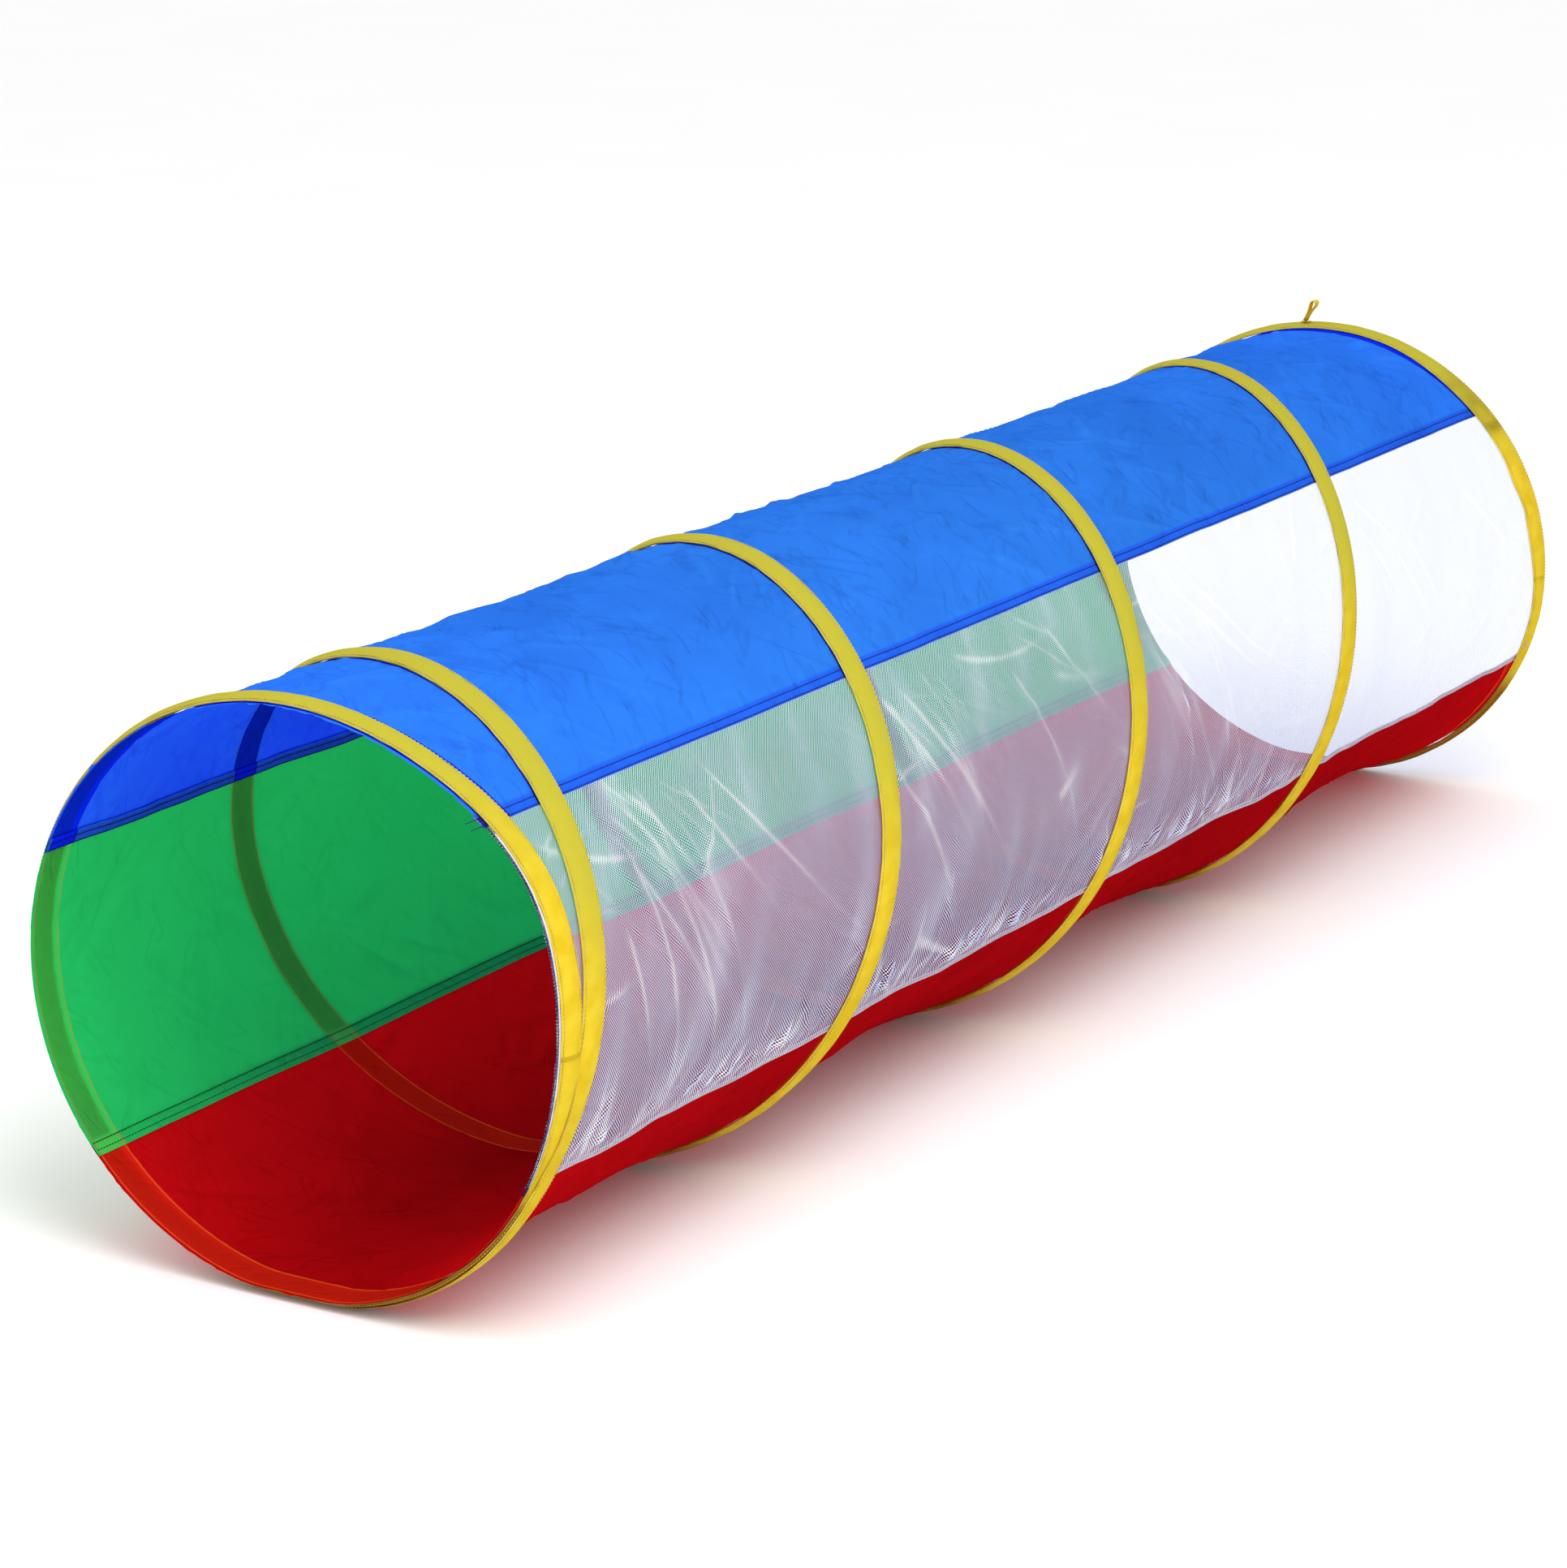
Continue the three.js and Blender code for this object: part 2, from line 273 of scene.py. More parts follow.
angle = np.arange(coil_first + 6, coil_last - 6, 1.5)[:, None]
around = np.radians(np.arange(12) * 30)[None, :]
coil_points = tunnel_point(
    coil_x(angle) + wire_thick / 2 * np.cos(around), angle, wire_stand + wire_thick / 2 * np.sin(around)
)
coil_cut = (np.radians(angle) * cloth_radius, around * wire_thick / 2)
coil_wire = skin("coil_wire_wound", coil_points, drawn_steel, coil_cut, tube=True, ends=True)
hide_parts("coil_wire")
folds_up(coil_wire)

# ---------------------------------------------------------------------------------------------------------
# The crimped tubes. Each ring's ends meet in a short steel tube, pinched on them with two rows of dents.
crimped_steel = Recipe("crimped_steel", Metallic=1.0, Roughness=0.42)
where = crimped_steel.node("ShaderNodeTexCoord", out=3)
grain = crimped_steel.node("ShaderNodeTexNoise", {}, {"Vector": where, "Scale": 700.0, "Detail": 3.0})
crimped_steel.feed(Base_Color=grain.rise(0.35, 0.7).tint(light(88, 90, 92), light(140, 142, 144)))
crimped_steel.feed(Roughness=0.3 + 0.3 * grain)
crimped_steel.bump(grain, 0.0001)
for node in ("mouth_ferrule", "far_ferrule"):
    frame["nodes"][node].data.materials.clear()
    frame["nodes"][node].data.materials.append(crimped_steel.material)

# ---------------------------------------------------------------------------------------------------------
# The top, side and bottom panels: thin plain-woven coated polyester, blue, green and red. The wire holds
# them out at each turn, they sag between the turns, and tapes and seams draw them into small slanting folds.
seam_blue_mesh, seam_blue_green, seam_green_red, seam_red_mesh = 44.0, 158.0, 218.0, 338.0
coil_half = 0.0142
cloth_low, cloth_high = near_x - near_half - 0.0036, far_x + far_half - 0.0008
sag_above, sag_below = 0.0006, 0.013
seam_drop, seam_bow, seam_wander, seam_spread = 0.018, 0.012, 0.0016, 24
fold_edge, fold_under, lap_step = 0.0007, 0.0016, 0.0012
shake = np.random.default_rng(7).random((64, 64, 64))


def smooth(value, start=0.0, end=1.0):
    share = np.clip((value - start) / (end - start), 0, 1)
    return share * share * (3 - 2 * share)


def uneven(x, angle, size, seed):
    """Soft bumps of about one size, from -1 to 1, that run on unbroken round the tunnel."""
    turn = np.radians(angle)
    places = np.broadcast_arrays(x, cloth_radius * np.cos(turn), cloth_radius * np.sin(turn))
    parts = [place / size + seed for place in places]
    cells = [np.floor(part).astype(int) for part in parts]
    shares = [smooth(part - cell) for cell, part in zip(cells, parts)]
    total = 0
    for i in (0, 1):
        for j in (0, 1):
            for k in (0, 1):
                weight = 1
                for share, side in zip(shares, (i, j, k)):
                    weight = weight * (share if side else 1 - share)
                cell = ((cells[0] + i) % 64, (cells[1] + j) % 64, (cells[2] + k) % 64)
                total = total + weight * shake[cell]
    return total * 2 - 1


def ribs(x, angle):
    """How far each point is past the wire before it, and short of the wire after it."""
    x, angle = np.broadcast_arrays(x, np.mod(angle, 360.0))
    before, after = ring_x(angle), np.full(x.shape, far_x)
    for turn in range(-1, 5):
        place = coil_x(angle + 360.0 * turn)
        before = np.where(place <= x, np.maximum(before, place), before)
        after = np.where(place > x, np.minimum(after, place), after)
    return np.maximum(x - before, 0), np.maximum(after - x, 0)


def near_tape(x, angle):
    """How far each point is from the middle of the nearest tape, in half widths of that tape."""
    x, angle = np.broadcast_arrays(x, np.mod(angle, 360.0))
    found = np.minimum(abs(x - ring_x(angle)) / near_half, abs(x - far_x) / far_half)
    for turn in range(-1, 5):
        found = np.minimum(found, abs(x - coil_x(angle + 360.0 * turn)) / coil_half)
    return found


def slack(x, angle):
    """How far the cloth stands out from the round: it is drawn in between the turns, most of all below."""
    before, after = (np.maximum(part - coil_half, 0) for part in ribs(x, angle))
    gap = before + after
    share = before / np.maximum(gap, 1e-6)
    bow = 4 * share * (1 - share) * np.minimum(gap / 0.42, 1.2) ** 2
    down = smooth(-np.sin(np.radians(angle)), 0.1, 0.85)
    sag = bow * (-sag_above * (1 - down) - sag_below * down)
    calm = smooth(np.minimum(before, after), 0.0, 0.045)
    broad, fine = 0.0026 * uneven(x, angle, 0.085, 3.3), 0.0009 * uneven(x, angle, 0.03, 17.7)
    return sag + calm * (broad + fine)


def drawn_down(x, angle):
    """Where a point comes to lie, as the limp mesh hangs and its lower seam slips down the side."""
    before, after = ribs(x, angle)
    share = before / np.maximum(before + after, 1e-6)
    ahead = smooth((x - near_x) / (far_x - near_x), 0.1, 1.0)
    drop = seam_drop * (1 - 0.72 * ahead) + seam_bow * 4 * share * (1 - share)
    drop = drop + seam_wander * uneven(x, angle, 0.03, 41.0)
    near = np.exp(-((off_angle(angle, seam_red_mesh) / seam_spread) ** 2))
    return angle - np.degrees(drop / cloth_radius) * near


def draw_folds(seed, low, high, ways):
    """Folds in a panel, each with its start, heading, length, width, height, bend and sharpness."""
    dice, found = np.random.default_rng(seed), []
    width = math.radians(high - low) * cloth_radius
    for way, count in ways.items():
        for _ in range(count):
            x, v = dice.uniform(near_x, far_x), dice.uniform(0.02, 0.98) * width
            down = dice.random() < 0.5
            if way == "tape":
                turn = low + math.degrees(v / cloth_radius)
                turns = [float(coil_x(turn % 360.0 + 360.0 * k)) for k in range(4)]
                place, side = dice.choice([float(ring_x(turn))] + turns), dice.choice([-1, 1])
                x = place + side * coil_half * 0.9
                length = dice.uniform(0.015, 0.07)
                shape = ((90 - 90 * side) + dice.normal(0, 26), length, dice.uniform(0.002, 0.005))
                rise, bend = dice.uniform(0.0006, 0.0018), dice.normal(0, 2.5)
            elif way == "seam":
                v = 0.004 if down else width - 0.004
                heading = (1 if down else -1) * dice.uniform(28, 78)
                heading += 180 if dice.random() < 0.35 else 0
                shape = (heading, dice.uniform(0.018, 0.06), dice.uniform(0.002, 0.004))
                rise, bend = dice.uniform(0.0006, 0.0016), dice.normal(0, 4)
            elif way == "hem":
                v = dice.uniform(0.0, 0.004)
                shape = (dice.normal(70, 26), dice.uniform(0.015, 0.1), dice.uniform(0.002, 0.006))
                rise, bend = dice.uniform(0.0006, 0.002), dice.normal(0, 3)
            elif way == "fan":
                v = width - abs(dice.normal(0, 0.05))
                turn = low - 360 + math.degrees(v / cloth_radius) + 360.0 * dice.integers(0, 4)
                place = float(coil_x(turn)) + coil_half
                x = place + abs(dice.normal(0, 0.07)) if dice.random() < 0.7 else x
                shape = (dice.normal(-70, 13), dice.uniform(0.1, 0.28), dice.uniform(0.002, 0.006))
                rise, bend = dice.uniform(0.0004, 0.0016), dice.normal(0.8, 0.9)
            else:
                heading = dice.choice([-1, 1], p=[0.72, 0.28]) * dice.uniform(12, 52)
                shape = (heading, dice.uniform(0.05, 0.2), dice.uniform(0.003, 0.009))
                rise, bend = dice.uniform(0.0008, 0.0024), dice.normal(0, 1.8)
            if way in ("hem", "fan"):
                rise *= 1 - 0.85 * smooth(x, 0.25, 0.6)
            found.append((x, v, *shape, rise, bend, 0.62 * dice.uniform(0.05, 1.0) ** 2))
    return found


def fold_up(x, v, found):
    """Height of the folds at each point, and how near the point is to a fold's crest."""
    height, crest = np.zeros(x.shape), np.zeros(x.shape)
    for x0, v0, heading, length, width, rise, bend, sharp in found:
        close = (abs(x - x0) < length + 0.03) & (abs(v - v0) < length + 0.03)
        dx, dv, turn = x[close] - x0, v[close] - v0, math.radians(heading)
        along = dx * math.cos(turn) + dv * math.sin(turn)
        across = dv * math.cos(turn) - dx * math.sin(turn) - bend * along**2
        fade = smooth(along / length, -0.02, 0.12) * (1 - smooth(along / length, 0.25, 1.0))
        near = np.exp(-((across / width) ** 2)) * fade
        beside = np.exp(-(((across - 1.7 * width) / (1.5 * width)) ** 2)) * fade
        height[close] += rise * (near - 0.55 * beside)
        crest[close] = np.maximum(crest[close], sharp * np.exp(-((across / (0.5 * width)) ** 2)) * fade)
    return height, crest


def cut_panel(name, low, high, step, recipe, ways, seed, laps=(0, 0), turned=(0, 0), doubled=(0, 0)):
    """A panel between two seams. A lap runs on under the next panel, and a turned edge doubles back."""
    width = math.radians(high - low) * cloth_radius
    v = np.linspace(-laps[0], width + laps[1], int((width + sum(laps)) / step) + 1)
    x = np.linspace(cloth_low, cloth_high, int((cloth_high - cloth_low) / step) + 1)
    v, under = list(v), [0.0] * len(v)
    if turned[1]:
        v += [width + 0.0004, width - 0.001] + list(np.linspace(width - 0.003, width - turned[1], 4))
        under += [fold_edge] + [fold_under] * 5
    if turned[0]:
        v = list(np.linspace(turned[0], 0.003, 4)) + [0.001, -0.0004] + v
        under = [fold_under] * 5 + [fold_edge] + under
    v, under, x = np.array(v)[None, :], np.array(under)[None, :], x[:, None]
    x, v, under = np.broadcast_arrays(x, v, under)
    angle, cut = drawn_down(x, low + np.degrees(v / cloth_radius)), (x, v)
    x = x + (ring_x(angle) - near_x) * (1 - smooth(x, cloth_low, cloth_low + 0.13))
    inside = smooth(np.minimum(v, width - v), 0.0, 0.003)
    clear = smooth(np.minimum(v, width - v), 0.009, 0.022)
    calm = smooth(near_tape(x, angle), 0.85, 1.5)
    height, crest = fold_up(x, v, draw_folds(seed, low, high, ways))
    lapped = smooth(-v, 0.0, 0.002) + smooth(v - width, 0.0, 0.002)
    stand = slack(x, angle) + calm * clear * height - (0.0006 + under + lap_step * lapped)
    first, last = doubled[0] - v, v - width + doubled[1]
    double = np.maximum(smooth(first, -0.0005, 0.0005), smooth(last, -0.0005, 0.0005))
    # These marks feed painted colour in the cloth: highlight on fold crests, shade on doubled layers, and
    # light and shade in the band under each tape.
    marks = {"rib": near_tape(x, angle), "crest": crest * calm * inside, "double": double}
    return skin(name, tunnel_point(x, angle, stand), recipe, cut, marks)


def woven(name, face, doubled, through, painted_tape_band, painted_tape_edge, glow):
    """Plain-woven coated cloth. Some light comes through. Painted into its colour: shade in folds, creases
    and doubled layers, highlights on fold crests, and the light and shade of the band and edge line under
    each tape.
    """
    cloth = Recipe(name, Roughness=0.5, Specular_IOR_Level=0.0)
    along, across = cloth.along_across()
    blotch, slub = cloth.noise(14, 3), cloth.noise(240, 2, (0.25, 1, 1))
    painted_fold_shade = cloth.drawn_noise(9, 24, 0.4, 3)
    creases = 0.0
    for heading, per_metre in ((38, 30), (-50, 24), (64, 42)):
        line = cloth.drawn_noise(per_metre, heading, 0.28, 2)
        line = 1 - abs(line - 0.5).rise(0.0, 0.05)
        creases = creases + line * cloth.drawn_noise(per_metre * 0.8, heading, 0.6, 2).rise(0.46, 0.62)
    colour = blotch.rise(0.25, 0.75).tint(tuple(0.9 * c for c in face), face)
    colour = (slub.rise(0.4, 0.75) * 0.16).tint(colour, tuple(min(1.2 * c, 1) for c in face))
    # Painted shade: broad soft darker bands stand in for the shade of loose folds.
    colour = (painted_fold_shade.rise(0.4, 0.72) * 0.8).tint(colour, tuple(0.76 * c for c in face))
    # Painted shade: crease lines are darkened in colour as well as in their bump.
    colour = (creases * 0.25).tint(colour, tuple(0.5 * c for c in face))
    # Painted highlight: fold crests are lightened in colour.
    colour = (cloth.mark("crest") * 0.5).tint(colour, tuple(min(1.35 * c, 1) for c in face))
    # Painted shade: where the cloth lies doubled it takes a set colour, darker for the blue and the red,
    # standing in for the light two layers hold back.
    colour = (cloth.mark("double") * 0.6).tint(colour, doubled)
    rib = cloth.mark("rib")
    # Painted light and shade: under each tape the cloth takes a set colour, and a painted edge line follows
    # the tape's borders, standing in for the light the tape blocks and lets through.
    colour = ((1 - rib.rise(0.94, 1.0)) * 0.85).tint(colour, painted_tape_band)
    colour = (rib.band(0.9, 1.03, 0.03) * 0.7).tint(colour, painted_tape_edge)
    cloth.feed(Base_Color=colour, Roughness=0.44 + 0.16 * slub)
    threads = along.wave(0.0007) * across.wave(0.0007)
    cloth.bump(threads * 0.25 + 0.9 * slub + 2.5 * cloth.noise(90, 3) - 4.0 * creases, 0.00016, 0.9)
    lit = cloth.node("ShaderNodeBsdfTranslucent", {}, {"Color": glow})
    thin = through * (1 - 0.75 * cloth.mark("double"))
    cloth.show(cloth.node("ShaderNodeMixShader", {}, {0: thin, 1: cloth.shader, 2: lit}))
    return cloth


# In each cloth below, the doubled colour is painted shade of two layers, and the band and edge colours under
# a tape are painted light and shade.
blue_cloth = woven(
    "blue_cloth",
    face=light(56, 144, 255),
    doubled=light(0, 14, 190),
    through=0.45,
    painted_tape_band=light(0, 8, 250),
    painted_tape_edge=light(0, 0, 120),
    glow=light(0, 0, 255),
)
green_cloth = woven(
    "green_cloth",
    face=light(44, 182, 96),
    doubled=light(34, 190, 84),
    through=0.45,
    painted_tape_band=light(78, 196, 76),
    painted_tape_edge=light(160, 130, 40),
    glow=light(28, 204, 96),
)
red_cloth = woven(
    "red_cloth",
    face=light(182, 10, 16),
    doubled=light(120, 4, 8),
    through=0.4,
    painted_tape_band=light(226, 38, 18),
    painted_tape_edge=light(250, 110, 34),
    glow=light(214, 12, 20),
)
top_panel = cut_panel(
    "top_panel_blue", seam_blue_mesh, seam_blue_green, 0.0035, blue_cloth,
    {"tape": 230, "seam": 170, "pull": 260}, 11, turned=(0.012, 0.013), doubled=(0.012, 0.013),
)
side_panel = cut_panel(
    "side_panel_green", seam_blue_green, seam_green_red, 0.004, green_cloth,
    {"tape": 90, "seam": 60, "pull": 130}, 12, laps=(0.0115, 0.0125),
)
bottom_panel = cut_panel(
    "bottom_panel_red", seam_green_red, seam_red_mesh, 0.004, red_cloth,
    {"tape": 130, "seam": 130, "pull": 170}, 13, laps=(0, 0.005), doubled=(0.012, 0),
)
tunnel_cut = cloth_high - cloth_low
for piece, node, slot, arc in (
    (top_panel, "top_panel", "blue_cloth", seam_blue_green - seam_blue_mesh),
    (side_panel, "side_panel", "green_cloth", seam_green_red - seam_blue_green),
    (bottom_panel, "bottom_panel", "red_cloth", seam_red_mesh - seam_green_red),
):
    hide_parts(node)
    folds_up(piece)
    cut_width = math.radians(arc) * cloth_radius + 0.024

# ---------------------------------------------------------------------------------------------------------
# The see-through panel: fine white knitted mesh with rows of small holes, so light passes and cloth behind
# shows. It is limp, and falls in thin curved folds that look white: two layers lie together there and let
# less through, and a painted highlight makes the crests paler.
mesh_cloth = Recipe("mesh_cloth", Roughness=0.6, Specular_IOR_Level=0.1)
along, across = mesh_cloth.along_across()
crest = mesh_cloth.mark("crest")
hole = along.wave(0.0026) * across.wave(0.0026)
cloudy = mesh_cloth.drawn_noise(20, 66, 0.3, 3).rise(0.4, 0.75)
full = -0.16 + 0.46 * crest + 0.17 * cloudy + 0.6 * mesh_cloth.mark("double")
# Painted highlight: fold crests are paler, mixed with random cloudy patches.
pale = (crest + cloudy * 0.2).rise(0.05, 0.5)
mesh_cloth.feed(Base_Color=pale.tint(light(217, 228, 255), light(246, 249, 255)))
mesh_cloth.bump(hole, -0.0003, 0.6)
mesh_lit = mesh_cloth.node("ShaderNodeBsdfTranslucent", {}, {"Color": light(232, 238, 254)})
mesh_body = mesh_cloth.node("ShaderNodeMixShader", {}, {0: 0.3, 1: mesh_cloth.shader, 2: mesh_lit})
mesh_gap = mesh_cloth.node("ShaderNodeBsdfTransparent")
mesh_open = (hole - full).rise(-0.04, 0.04)
mesh_cloth.show(mesh_cloth.node("ShaderNodeMixShader", {}, {0: mesh_open, 1: mesh_body, 2: mesh_gap}))
mesh_panel = cut_panel(
    "mesh_panel_white", seam_red_mesh, seam_blue_mesh + 360, 0.002, mesh_cloth,
    {"tape": 60, "hem": 460, "fan": 150, "pull": 40}, 21, laps=(0, 0.0115), doubled=(0.0035, 0),
)
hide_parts("mesh_panel")
folds_up(mesh_panel)

# ---------------------------------------------------------------------------------------------------------
# The seams' thread. Each seam is lapped and sewn with two rows of lockstitch, 6.5 mm apart: navy beside the
# blue, dark green inside the green, and white where the mesh is sewn over the red.


def thread(name, face, deep):
    spun = Recipe(name, Roughness=0.55, Specular_IOR_Level=0.1)
    along, across = spun.along_across()
    ply = (along + across * 0.6).wave(0.0009)
    spun.feed(Base_Color=ply.rise(-0.8, 0.8).tint(deep, face))
    spun.bump(ply, 0.00012)
    return spun


def sewn(name, rows, recipe, thick=0.0004, pitch=0.0034):
    """Rows of short stitches of thread, as one piece. A row gives points and ways out for shares 0 to 1."""
    rings, sides = ((0, 0.25, -0.7), (0.2, 1, 0.3), (0.8, 1, 0.3), (1, 0.25, -0.7)), 6
    turn = np.arange(sides) * 2 * math.pi / sides
    spots, cuts = [], []
    for row in rows:
        fine, _ = row(np.linspace(0, 1, 600))
        count = max(int(np.linalg.norm(np.diff(fine, axis=0), axis=1).sum() / pitch), 1)
        start, out = row(np.arange(count) / count)
        ahead = row((np.arange(count) + 0.84) / count)[0] - start
        side = np.cross(out, ahead)
        side /= np.linalg.norm(side, axis=-1, keepdims=True)
        share, girth, lift = (np.array(part)[None, :, None, None] for part in zip(*rings))
        start, ahead, out, side = (part[:, None, None, :] for part in (start, ahead, out, side))
        swing = turn[None, None, :, None]
        middle = start + ahead * share + out * (thick * lift)
        spot = middle + thick * girth * (side * np.cos(swing) + out * np.sin(swing))
        spots.append(spot.reshape(-1, 3))
        along = np.broadcast_to(share * pitch, spot.shape[:3] + (1,)).reshape(-1)
        across = np.broadcast_to(swing * thick, spot.shape[:3] + (1,)).reshape(-1)
        cuts.append(np.stack([along, across], -1))
    spots, cuts = np.concatenate(spots), np.concatenate(cuts)
    each, faces = len(rings) * sides, []
    for ring in range(len(rings) - 1):
        for k in range(sides):
            a, b = ring * sides + k, ring * sides + (k + 1) % sides
            faces.append((a, b, b + sides, a + sides))
    faces = np.array(faces)
    starts = np.arange(len(spots) // each)[:, None, None] * each
    faces = (starts + faces[None]).reshape(-1, 4)
    mesh = bpy.data.meshes.new(name)
    mesh.from_pydata(spots.tolist(), [], faces.tolist())
    mesh.polygons.foreach_set("use_smooth", np.ones(len(faces), bool))
    mesh.uv_layers.new(name="cut").data.foreach_set("uv", cuts[faces.ravel()].astype(np.float32).ravel())
    mesh.materials.append(recipe.material)
    made = bpy.data.objects.new(name, mesh)
    bpy.context.collection.objects.link(made)
    return made


def seam_row(seam, aside, above):
    """A row along the tunnel, a distance round from a seam and above the cloth."""

    def row(share):
        x = cloth_low + 0.002 + (cloth_high - cloth_low - 0.004) * share
        angle = drawn_down(x, np.full(x.shape, seam + math.degrees(aside / cloth_radius)))
        return tunnel_point(x, angle, slack(x, angle) + above), outward(angle)

    return row


def inward(row):
    """The same row, seen from inside the tunnel."""

    def turned(share):
        points, out = row(share)
        return points, -out

    return turned


navy_thread = thread("navy_thread", light(46, 8, 120), light(16, 2, 60))
green_thread = thread("green_thread", light(14, 92, 44), light(4, 44, 18))
white_thread = thread("white_thread", light(244, 244, 250), light(190, 190, 205))
seams_navy = sewn(
    "seam_thread_navy",
    [seam_row(seam_blue_mesh, aside, -0.0004) for aside in (0.0012, 0.0077)]
    + [seam_row(seam_blue_green, aside, -0.0004) for aside in (-0.0012, -0.0077)]
    + [inward(seam_row(seam_blue_green, aside, -0.0026)) for aside in (-0.0012, -0.0077)],
    navy_thread,
)
seams_green = sewn(
    "seam_thread_green",
    [seam_row(seam_green_red, aside, -0.0004) for aside in (0.0012, 0.0077)]
    + [inward(seam_row(seam_green_red, aside, -0.0018)) for aside in (0.0012, 0.0077)],
    green_thread,
)
seams_white = sewn(
    "seam_thread_white",
    [seam_row(seam_red_mesh, aside, -0.0002) for aside in (0.0012, 0.0062)],
    white_thread,
)
for piece, slot in ((seams_navy, "blue_cloth"), (seams_green, "green_cloth"), (seams_white, "mesh_cloth")):
    folds_up(piece)

# ---------------------------------------------------------------------------------------------------------
# The tapes: soft yellow woven tape, folded over the wire and sewn down along both edges with pale thread.
# The coil's tape is sewn on beside the rings' tapes, and its two ends run over them and are sewn in.
tape_foot, tape_thick = 0.0003, 0.0008
ring_tape_height, coil_tape_height = 0.0057, 0.0052
yellow_tape = Recipe("yellow_tape", Roughness=0.6, Specular_IOR_Level=0.02)
along, across = yellow_tape.along_across()
edge, shade, ferrule_shade = (yellow_tape.mark(name) for name in ("edge", "shade", "ferrule_shade"))
patchy = yellow_tape.noise(60, 3)
colour = patchy.rise(0.3, 0.7).tint(light(224, 194, 34), light(236, 210, 56))
colour = (1 - shade.rise(-0.95, -0.35)).tint(colour, light(196, 190, 62))
colour = shade.rise(0.42, 0.56).tint(colour, light(138, 92, 5))
# Painted shade: a dark olive spot and smear on the far tape where the ferrule lies under it.
colour = (ferrule_shade * 0.85).tint(colour, light(104, 98, 30))
colour = (edge.rise(0.95, 0.99) * 0.4).tint(colour, light(214, 208, 150))
yellow_tape.feed(Base_Color=colour)
twill = (along + across).wave(0.0011) * 0.35 + (along - across).wave(0.0011) * 0.2
yellow_tape.bump(twill + 1.5 * yellow_tape.noise(220, 2, (0.4, 1, 1)), 0.00014)
tape_lit = yellow_tape.node("ShaderNodeBsdfTranslucent", {}, {"Color": light(250, 214, 30)})
yellow_tape.show(yellow_tape.node("ShaderNodeMixShader", {}, {0: 0.3, 1: yellow_tape.shader, 2: tape_lit}))


def crown(across, height):
    """Height of a tape over the cloth, from its thin sewn edges up to the wire in its middle."""
    rise = height - tape_foot - tape_thick
    return tape_foot + tape_thick + rise * np.maximum(1 - across**2, 0) ** 0.85


def under_tape(x, angle):
    """Height of the rings' tapes, where the coil's tape runs over them."""
    near, far = (x - ring_x(angle)) / near_half, (x - far_x) / far_half
    over_near = crown(np.clip(near, -1, 1), 0.0056) * (abs(near) < 1)
    over_far = crown(np.clip(far, -1, 1), 0.0056) * (abs(far) < 1)
    return np.maximum(over_near, over_far)


def laid_over(stand, below):
    """Height of a tape that runs over another one, with a soft step at its edge."""
    return 0.0005 * np.logaddexp(stand / 0.0005, (below + 0.0011) / 0.0005)


def tape(name, angle, middle, half, height, seed, ring=False, over=False):
    """A tape round the tunnel: seventeen points over its crown, and four back under it."""
    top, back = np.cos(np.linspace(0, math.pi, 17)), np.linspace(-0.92, 0.92, 4)
    share = np.concatenate([top, back])[None, :]
    upper = np.concatenate([np.ones(17), np.zeros(4)])[None, :]
    a, middle, half = angle[:, None], middle[:, None], half[:, None]
    wander = 0.0011 * uneven(middle, a, 0.05, seed) + 0.0006 * uneven(middle, a, 0.016, seed + 9)
    wobble = 0.0007 * uneven(middle + 0.9 * share, a, 0.011, seed + 4)
    x = middle + half * share + wobble * abs(share) + wander * 0.4
    ridge = np.clip(share + 0.16 * uneven(middle, a, 0.09, seed + 2) * (1 - share**2), -1, 1)
    pucker = 0.0005 * uneven(middle + 0.02 * np.sign(share), a, 0.007, seed + 5)
    pucker = pucker * smooth(abs(share), 0.3, 0.8)
    soft = 0.0005 * uneven(middle + 0.3 * share, a, 0.022, seed + 6) * (1 - share**2)
    high = crown(ridge, height) + (pucker + soft) * (abs(share) < 0.999)
    low = tape_foot + 0 * high
    if over:
        below = under_tape(x, a)
        high = laid_over(high, below)
        low = np.minimum(low + below, high - 0.0005)
    stand = np.where(upper > 0, high, low)
    down = -np.sin(np.radians(a))
    # Painted shade of the ferrule under the far tape: a spot with a smear beside it, made patchy.
    at, shade_patchiness = np.mod(a, 360), 0.65 + 0.35 * uneven(x, a, 0.012, 5.5)
    shade_spread = 0.55 * smooth(at, 38, 44) * (1 - smooth(at, 52, 60))
    ferrule_shade = (shade_spread + np.exp(-(((at - 39.5) / 1.6) ** 2))) * shade_patchiness * (middle > far_x - 0.02) * (a < 400)
    marks = {"edge": abs(share), "shade": down - 0.38 * over, "ferrule_shade": ferrule_shade}
    cut = (np.radians(a) * cloth_radius, share * half)
    points = tunnel_point(x, a, stand)
    return skin(name, points, yellow_tape, cut, marks, ring=ring, tube=True, ends=not ring)


def tape_row(angle, middle, half, side, height, seed, over=False):
    """A row of stitches along one edge of a tape."""

    def row(share):
        a = angle[0] + (angle[-1] - angle[0]) * share
        spot, reach = np.interp(a, angle, middle), np.interp(a, angle, half)
        x = spot + side * 0.86 * reach + 0.00044 * uneven(spot, a, 0.05, seed)
        stand = crown(np.full(x.shape, 0.86), height)
        if over:
            stand = laid_over(stand, under_tape(x, a))
        return tunnel_point(x, a, stand + 0.0001), outward(a)

    return row


